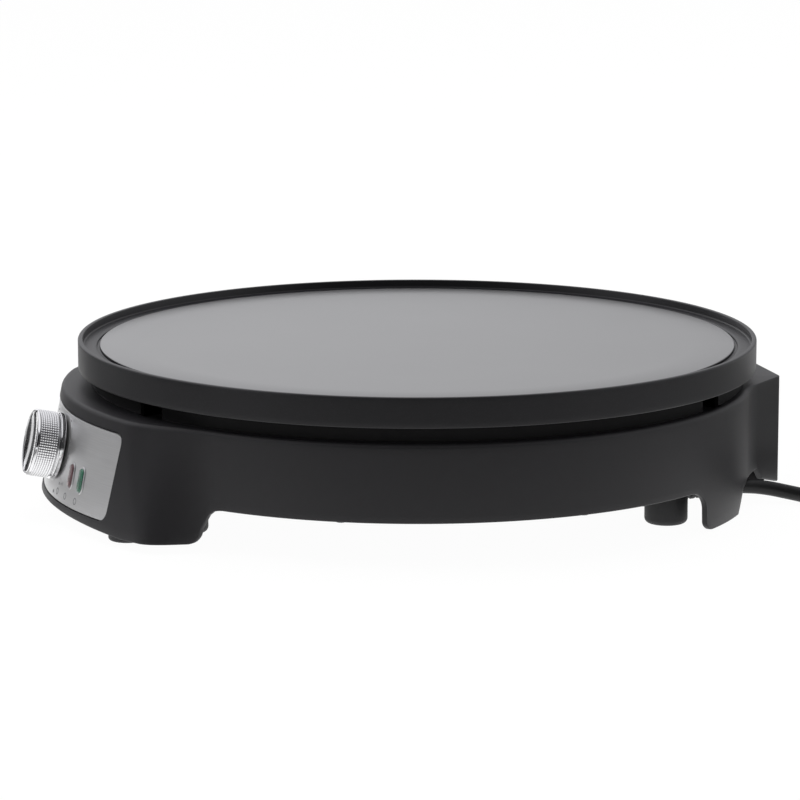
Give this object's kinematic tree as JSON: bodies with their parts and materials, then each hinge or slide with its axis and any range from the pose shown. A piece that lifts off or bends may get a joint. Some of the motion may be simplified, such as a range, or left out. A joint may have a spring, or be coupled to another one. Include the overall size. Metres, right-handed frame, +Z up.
{
  "type": "electric crepe maker",
  "caption": "Electric crepe maker: a round non-stick hotplate on a black moulded base with a sloped control console, chrome thermostat knob, pilot lamps, rubber feet and a mains lead.",
  "frame": {"origin": "on the table, at the bottom centre of the box of the appliance without its free lead", "axes": "+X to the user's right, +Y from the control console to the cord block, +Z up"},
  "size_m": [0.32, 0.4744, 0.077],
  "materials": {
    "coating": "semi-gloss non-stick coating",
    "element_steel": "heat-tinted satin",
    "ceramic": "glazed ceramic",
    "reflector": "bright rolled sheet",
    "zinc_steel": "zinc plated",
    "copper": "drawn copper",
    "brass": "plain",
    "housing": "fine satin moulding",
    "cover": "matt moulding",
    "panel": "satin",
    "chrome": "polished",
    "stat": "zinc plated",
    "lens_red": "translucent",
    "lens_green": "translucent",
    "bezel": "satin chrome",
    "holder": "natural",
    "neon": "clear",
    "rubber": "matt",
    "cord": "matt sheath",
    "wire_brown": "insulation",
    "wire_blue": "insulation",
    "wire_green": "insulation",
    "wire_white": "glass-fibre sleeve",
    "plug": "satin moulding",
    "fuse": "tinned"
  },
  "bodies": {
    "base": {"hotplate": "coating", "heating_element": "element_steel", "element_terminals": "ceramic", "heat_reflector": "reflector", "reflector_washers": "zinc_steel", "reflector_nuts": "zinc_steel", "support_bushes": "ceramic", "support_screws": "zinc_steel", "sensor_bulb": "copper", "bulb_clip": "zinc_steel", "capillary_tube": "copper", "thermal_fuse": "fuse", "fuse_clip": "zinc_steel", "earth_screw": "brass", "earth_tag": "brass", "base_shell": "housing", "bottom_cover": "cover", "cover_screws": "zinc_steel", "round_feet": "rubber", "front_pads": "rubber", "control_panel": "panel", "thermostat_body": "stat", "thermostat_terminals": "brass", "thermostat_screws": "zinc_steel", "lens_power": "lens_red", "lens_ready": "lens_green", "lamp_bezels": "bezel", "lamp_holder": "holder", "neon_lamps": "neon", "terminal_block": "ceramic", "terminal_screws": "brass", "cord_clamp": "cover", "clamp_screws": "zinc_steel", "live_wire": "wire_brown", "neutral_wire": "wire_blue", "earth_wire": "wire_green", "heater_wire": "wire_white", "lamp_wires": "wire_white", "inner_cord": "cord", "strain_relief": "rubber", "power_cord": "cord", "cord_coil": "cord", "coil_tie": "cover", "plug_lead": "cord", "plug_boot": "plug", "plug_body": "plug", "plug_pins": "brass", "plug_earth_clips": "zinc_steel"},
    "knob": {"knob_body": "chrome", "knob_face": "chrome", "knob_spring": "zinc_steel", "thermostat_shaft": "zinc_steel", "thermostat_cam": "brass"}
  },
  "joints": [
    {"name": "knob_turn", "type": "hinge", "parent": "base", "child": "knob", "pos_m": [0, -0.16185, 0.032], "axis": [0, 0.9781, -0.2079], "range_deg": [0, 270]}
  ]
}
